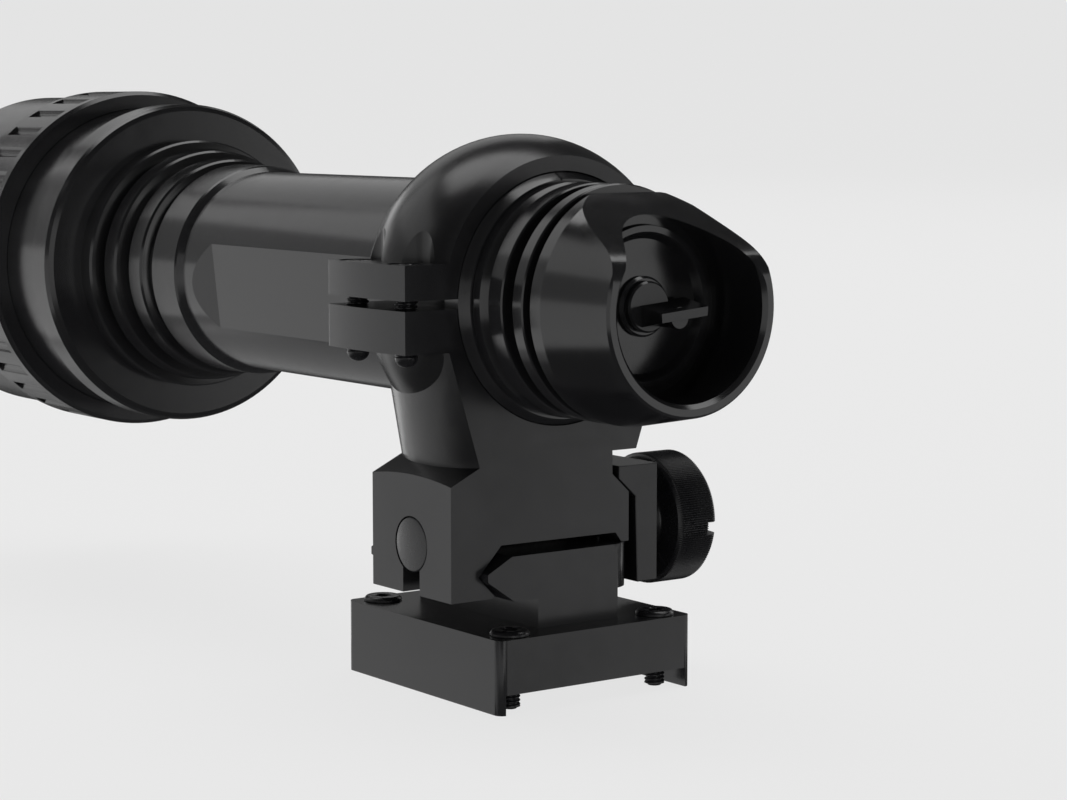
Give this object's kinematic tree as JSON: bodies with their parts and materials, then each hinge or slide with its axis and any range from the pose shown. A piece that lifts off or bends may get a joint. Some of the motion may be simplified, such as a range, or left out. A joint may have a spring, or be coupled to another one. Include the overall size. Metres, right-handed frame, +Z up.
{
  "type": "laser illuminator with clamp ring mount",
  "caption": "Round infrared laser torch with a stepped focusing head and a rotary switch in its tail cup, held by a split clamp ring on a quick-release rail plate.",
  "frame": {"origin": "centre of the flat seat under the base plate, between its two hanging lips", "axes": "+X to the right, towards the knurled clamp nut; +Y forward along the tube, towards the lens; +Z up from the seat to the tube"},
  "size_m": [0.0464, 0.1492, 0.0677],
  "materials": {
    "anodised_mount": "satin black anodised",
    "anodised_body": "satin black anodised",
    "knob_metal": "satin black anodised",
    "black_steel": "black oxide",
    "spring_steel": "bright drawn",
    "seal_rubber": "matt",
    "inner_plastic": "plain moulded",
    "battery_wrap": "shrink film over a metal can",
    "contact_brass": "turned",
    "board": "solder mask",
    "bare_aluminium": "turned",
    "lens_glass": "coated"
  },
  "bodies": {
    "mount": {"base_plate": "anodised_mount", "base_screws": "black_steel", "mount_body": "anodised_mount", "ring_screws": "black_steel", "cross_bolt": "black_steel", "jaw_spring": "spring_steel", "main_tube": "anodised_body", "index_collar": "anodised_body", "battery_cell": "battery_wrap", "battery_sleeve": "inner_plastic", "contact_button": "contact_brass", "driver_board": "board", "heat_sink": "bare_aluminium", "laser_diode": "contact_brass", "stepped_neck": "anodised_body", "head_housing": "anodised_body", "lens_seal": "seal_rubber", "front_lens": "lens_glass", "front_bezel": "anodised_body"},
    "jaw": {"clamp_jaw": "anodised_mount", "nut_washer": "black_steel"},
    "nut": {"thumb_nut": "black_steel"},
    "cap_travel": {"tail_o_ring": "seal_rubber"},
    "tail": {"tail_cap": "anodised_body", "dial_bushing": "anodised_body", "switch_body": "inner_plastic", "tail_spring": "spring_steel"},
    "knob": {"mode_knob": "knob_metal"},
    "focus": {"focus_ring": "anodised_body"},
    "carriage": {"lens_carriage": "anodised_body", "carriage_pins": "spring_steel", "collimator_lens": "lens_glass", "carriage_nut": "anodised_body"}
  },
  "joints": [
    {"name": "jaw_slide", "type": "slide", "parent": "mount", "child": "jaw", "axis": [1, 0, 0], "range_m": [0, 0.003]},
    {"name": "nut_turn", "type": "hinge", "parent": "jaw", "child": "nut", "pos_m": [0.018, -0.00277, 0.01528], "axis": [1, 0, 0], "range_deg": [0, 1350]},
    {"name": "tail_travel", "type": "slide", "parent": "mount", "child": "cap_travel", "axis": [0, -1, 0], "range_m": [0, 0.004]},
    {"name": "tail_turn", "type": "hinge", "parent": "cap_travel", "child": "tail", "pos_m": [-0.00138, -0.015, 0.04226], "axis": [0, -1, 0], "range_deg": [0, 1440]},
    {"name": "knob_turn", "type": "hinge", "parent": "tail", "child": "knob", "pos_m": [-0.00138, -0.028, 0.04226], "axis": [0, -1, 0], "range_deg": [0, 270]},
    {"name": "focus_turn", "type": "hinge", "parent": "mount", "child": "focus", "pos_m": [-0.00138, 0.088, 0.04226], "axis": [0, 1, 0], "range_deg": [0, 120]},
    {"name": "lens_travel", "type": "slide", "parent": "mount", "child": "carriage", "axis": [0, 1, 0], "range_m": [0, 0.004]}
  ],
  "couplings": [
    {"joint": "nut_turn", "follows": "jaw_slide", "rad_per_m": 7854},
    {"joint": "tail_turn", "follows": "tail_travel", "rad_per_m": 6283.2},
    {"joint": "focus_turn", "follows": "lens_travel", "rad_per_m": 523.6}
  ]
}
